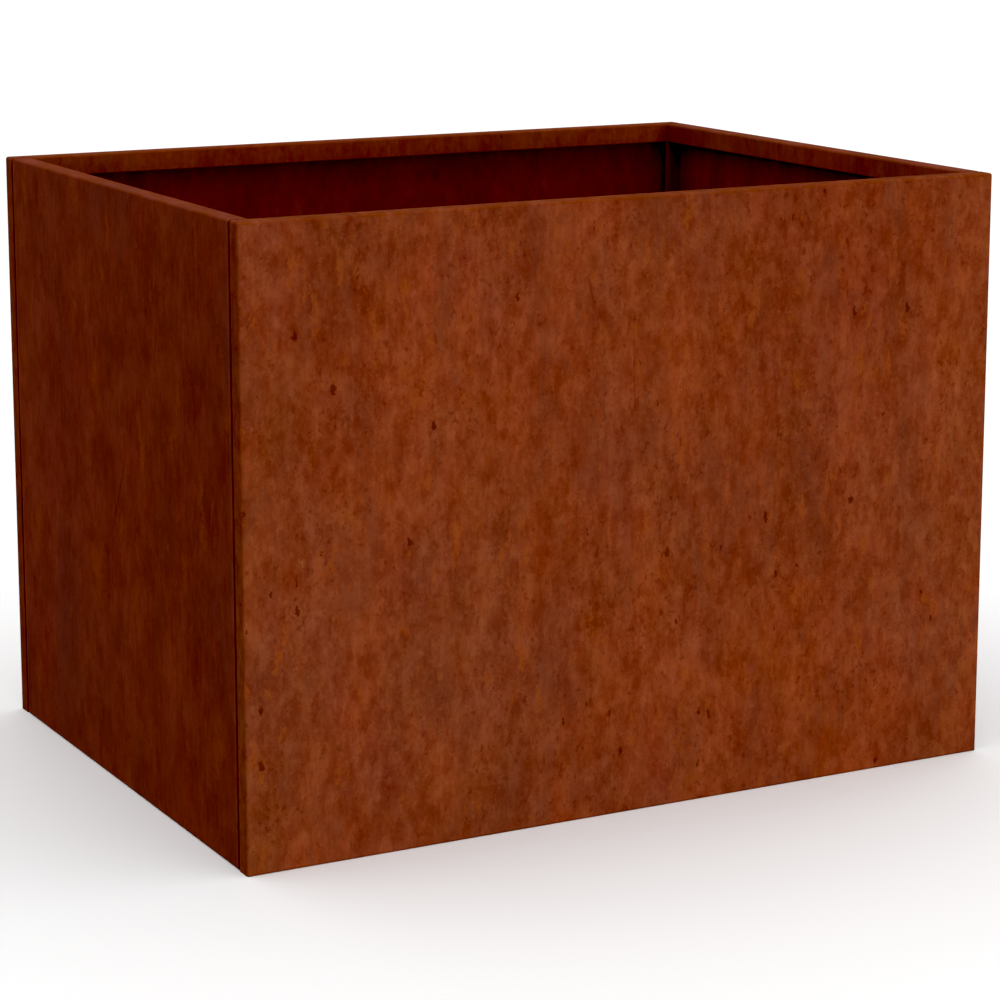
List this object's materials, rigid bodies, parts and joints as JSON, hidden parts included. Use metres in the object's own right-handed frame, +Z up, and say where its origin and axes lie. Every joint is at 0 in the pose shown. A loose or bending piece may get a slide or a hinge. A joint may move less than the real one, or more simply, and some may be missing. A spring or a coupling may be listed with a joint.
{
  "type": "planter box",
  "caption": "Rectangular open-topped weathering-steel planter box with folded rims, bolted corners and a raised drained base.",
  "frame": {"origin": "on the ground, at the middle of the footprint", "axes": "+X along the long side to the right, +Y from the front to the rear, +Z up out of the open top"},
  "size_m": [0.6, 0.45, 0.44],
  "materials": {
    "weathering_steel": "matte",
    "base_steel": "matte",
    "zinc_plated_steel": "satin"
  },
  "bodies": {
    "root": {"front_panel": "weathering_steel", "rear_panel": "weathering_steel", "left_panel": "weathering_steel", "right_panel": "weathering_steel", "base_tray": "base_steel", "left_bearer": "base_steel", "right_bearer": "base_steel", "bolts_front_left": "zinc_plated_steel", "washers_front_left": "zinc_plated_steel", "nuts_front_left": "zinc_plated_steel", "bolts_front_right": "zinc_plated_steel", "washers_front_right": "zinc_plated_steel", "nuts_front_right": "zinc_plated_steel", "bolts_rear_left": "zinc_plated_steel", "washers_rear_left": "zinc_plated_steel", "nuts_rear_left": "zinc_plated_steel", "bolts_rear_right": "zinc_plated_steel", "washers_rear_right": "zinc_plated_steel", "nuts_rear_right": "zinc_plated_steel", "base_studs": "zinc_plated_steel", "base_stud_washers": "zinc_plated_steel", "base_stud_nuts": "zinc_plated_steel", "tray_bolts": "zinc_plated_steel", "tray_washers": "zinc_plated_steel", "tray_nuts": "zinc_plated_steel"}
  },
  "joints": []
}
